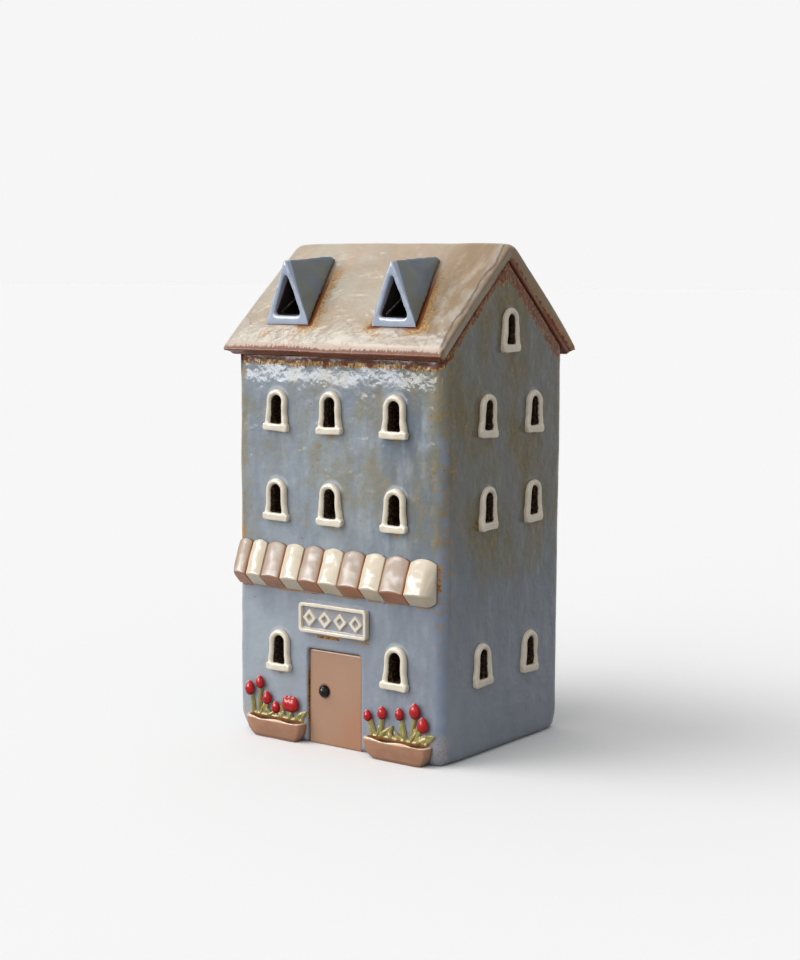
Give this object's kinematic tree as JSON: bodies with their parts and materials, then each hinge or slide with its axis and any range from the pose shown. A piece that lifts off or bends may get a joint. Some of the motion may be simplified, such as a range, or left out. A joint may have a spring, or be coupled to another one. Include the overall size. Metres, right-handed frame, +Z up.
{
  "type": "ceramic candle house",
  "caption": "Glazed stoneware shop house with arched window openings, gabled roof, triangular dormers and a striped awning, open at the rear for a tealight.",
  "frame": {"origin": "middle of the body's footprint, on the table plane under the floor slab", "axes": "+Z up, -Y towards the viewer of the shop front, +X to the right along the shop front as the viewer sees it"},
  "size_m": [0.0976, 0.0878, 0.18],
  "materials": {
    "wall_glaze": "glossy blue-grey reactive glaze with ochre speckle",
    "roof_glaze": "glossy tan glaze over iron-brown edges",
    "dormer_glaze": "glossy light blue glaze",
    "cream_glaze": "glossy cream glaze",
    "taupe_glaze": "glossy taupe glaze with brown edges",
    "door_glaze": "satin tan glaze",
    "knob_glaze": "glossy black glaze",
    "trough_glaze": "glossy terracotta glaze",
    "red_glaze": "glossy red glaze",
    "green_glaze": "glossy green and ochre glaze",
    "bare_stoneware": "unglazed fired clay"
  },
  "bodies": {
    "root": {"floor_slab": "bare_stoneware", "front_wall": "wall_glaze", "rear_wall": "wall_glaze", "left_gable_wall": "wall_glaze", "right_gable_wall": "wall_glaze", "front_roof_slab": "roof_glaze", "rear_roof_slab": "roof_glaze", "left_dormer": "dormer_glaze", "right_dormer": "dormer_glaze", "awning_stripe_1": "taupe_glaze", "awning_stripe_2": "cream_glaze", "awning_stripe_3": "taupe_glaze", "awning_stripe_4": "cream_glaze", "awning_stripe_5": "taupe_glaze", "awning_stripe_6": "cream_glaze", "awning_stripe_7": "taupe_glaze", "awning_stripe_8": "cream_glaze", "awning_stripe_9": "taupe_glaze", "awning_stripe_10": "cream_glaze", "sign_board": "cream_glaze", "door_slab": "door_glaze", "door_knob": "knob_glaze", "left_flower_trough": "trough_glaze", "right_flower_trough": "trough_glaze", "left_tulip_buds": "red_glaze", "right_tulip_buds": "red_glaze", "left_tulip_foliage": "green_glaze", "right_tulip_foliage": "green_glaze", "window_front_ground_left": "cream_glaze", "window_front_ground_right": "cream_glaze", "window_front_middle_left": "cream_glaze", "window_front_middle_centre": "cream_glaze", "window_front_middle_right": "cream_glaze", "window_front_top_left": "cream_glaze", "window_front_top_centre": "cream_glaze", "window_front_top_right": "cream_glaze", "window_right_ground_front": "cream_glaze", "window_right_ground_rear": "cream_glaze", "window_right_middle_front": "cream_glaze", "window_right_middle_rear": "cream_glaze", "window_right_top_front": "cream_glaze", "window_right_top_rear": "cream_glaze", "window_right_gable_middle": "cream_glaze", "window_left_ground_front": "cream_glaze", "window_left_ground_rear": "cream_glaze", "window_left_middle_front": "cream_glaze", "window_left_middle_rear": "cream_glaze", "window_left_top_front": "cream_glaze", "window_left_top_rear": "cream_glaze", "window_left_gable_middle": "cream_glaze"}
  },
  "joints": []
}
